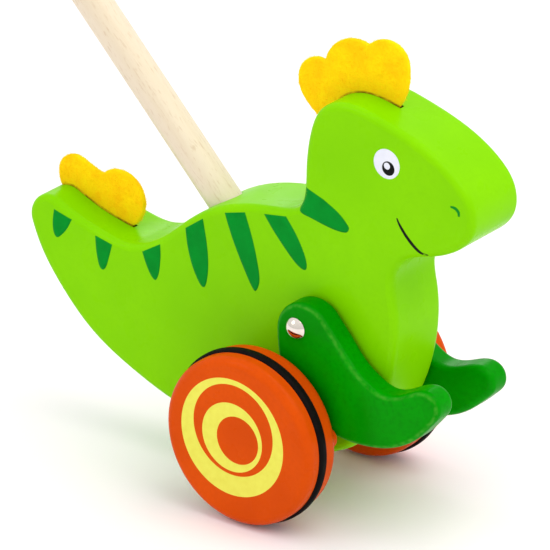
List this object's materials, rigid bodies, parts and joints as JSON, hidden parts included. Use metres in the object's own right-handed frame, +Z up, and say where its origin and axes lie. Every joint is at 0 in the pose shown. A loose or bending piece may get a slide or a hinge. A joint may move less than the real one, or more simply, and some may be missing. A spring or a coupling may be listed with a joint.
{
  "type": "push-along toy",
  "caption": "Wooden push-along dinosaur on a long stick: pegs on the turning wheels lift hinged front legs that flap down again.",
  "frame": {"origin": "on the floor straight under the axle, in the middle plane of the toy", "axes": "+X forward to the nose, +Y to the animal's left along the axle, +Z up"},
  "size_m": [0.4984, 0.1, 0.5046],
  "materials": {
    "body_paint": "semi-gloss paint",
    "leg_paint": "semi-gloss paint",
    "wheel_paint": "semi-gloss paint",
    "peg_paint": "semi-gloss paint",
    "knob_paint": "semi-gloss paint",
    "stick_wood": "sanded, clear sealed",
    "spacer_wood": "sanded",
    "felt": "pressed felt",
    "ring_rubber": "matt",
    "steel": "drawn",
    "cap_chrome": "polished",
    "washer_plastic": "matt"
  },
  "bodies": {
    "frame": {"body": "body_paint", "push_stick": "stick_wood", "grip_knob": "knob_paint", "head_crest": "felt", "tail_crest": "felt", "pivot_rod": "steel", "right_pivot_cap": "cap_chrome", "left_pivot_cap": "cap_chrome", "right_leg_washer": "washer_plastic", "left_leg_washer": "washer_plastic"},
    "wheelset": {"axle": "steel", "right_wheel": "wheel_paint", "left_wheel": "wheel_paint", "right_tyre_ring": "ring_rubber", "left_tyre_ring": "ring_rubber", "right_lift_peg": "peg_paint", "left_lift_peg": "peg_paint", "right_hub_spacer": "spacer_wood", "left_hub_spacer": "spacer_wood"},
    "right_leg_arm": {"right_leg": "leg_paint"},
    "left_leg_arm": {"left_leg": "leg_paint"}
  },
  "joints": [
    {"name": "wheels_roll", "type": "hinge", "parent": "frame", "child": "wheelset", "pos_m": [0, 0, 0.037], "axis": [0, 1, 0], "continuous": true},
    {"name": "right_leg_flap", "type": "hinge", "parent": "frame", "child": "right_leg_arm", "pos_m": [0.0131, -0.02255, 0.0825], "axis": [0, -1, 0], "range_deg": [-10, 36]},
    {"name": "left_leg_flap", "type": "hinge", "parent": "frame", "child": "left_leg_arm", "pos_m": [0.0131, 0.02255, 0.0825], "axis": [0, -1, 0], "range_deg": [0, 42]}
  ]
}
